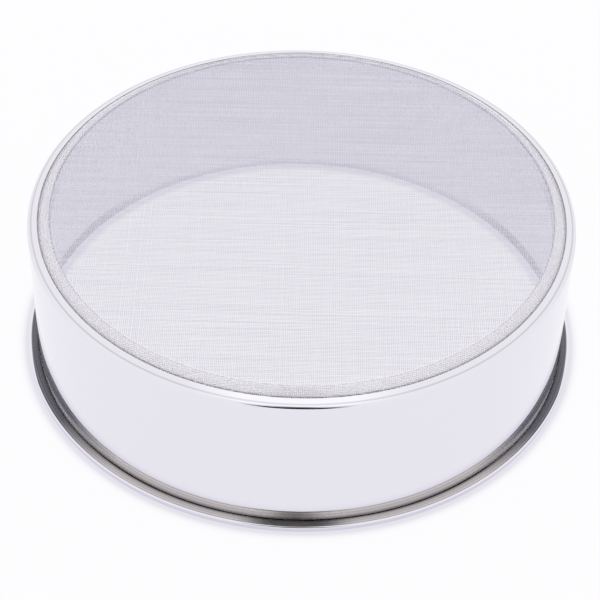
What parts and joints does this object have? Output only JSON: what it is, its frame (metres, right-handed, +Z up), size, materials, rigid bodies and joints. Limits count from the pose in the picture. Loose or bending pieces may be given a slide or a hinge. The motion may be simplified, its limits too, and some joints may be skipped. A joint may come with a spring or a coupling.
{
  "type": "flour sieve",
  "caption": "Round kitchen sieve: a short sheet-steel drum with a narrow brim at its mouth and fine wire cloth stretched over a ring across its other end.",
  "frame": {"origin": "centre of the circle on which the mouth rim stands, on the floor", "axes": "+Z up along the drum's axis, from the open mouth to the mesh; -Y towards the picture's camera, +X to its right"},
  "size_m": [0.2004, 0.2004, 0.06],
  "materials": {
    "polished_steel": "polished stainless steel",
    "ring_steel": "satin stainless steel",
    "wire_steel": "bright drawn stainless wire"
  },
  "bodies": {
    "root": {"drum_shell": "polished_steel", "tension_ring": "ring_steel", "mesh_cloth": "wire_steel"}
  },
  "joints": []
}
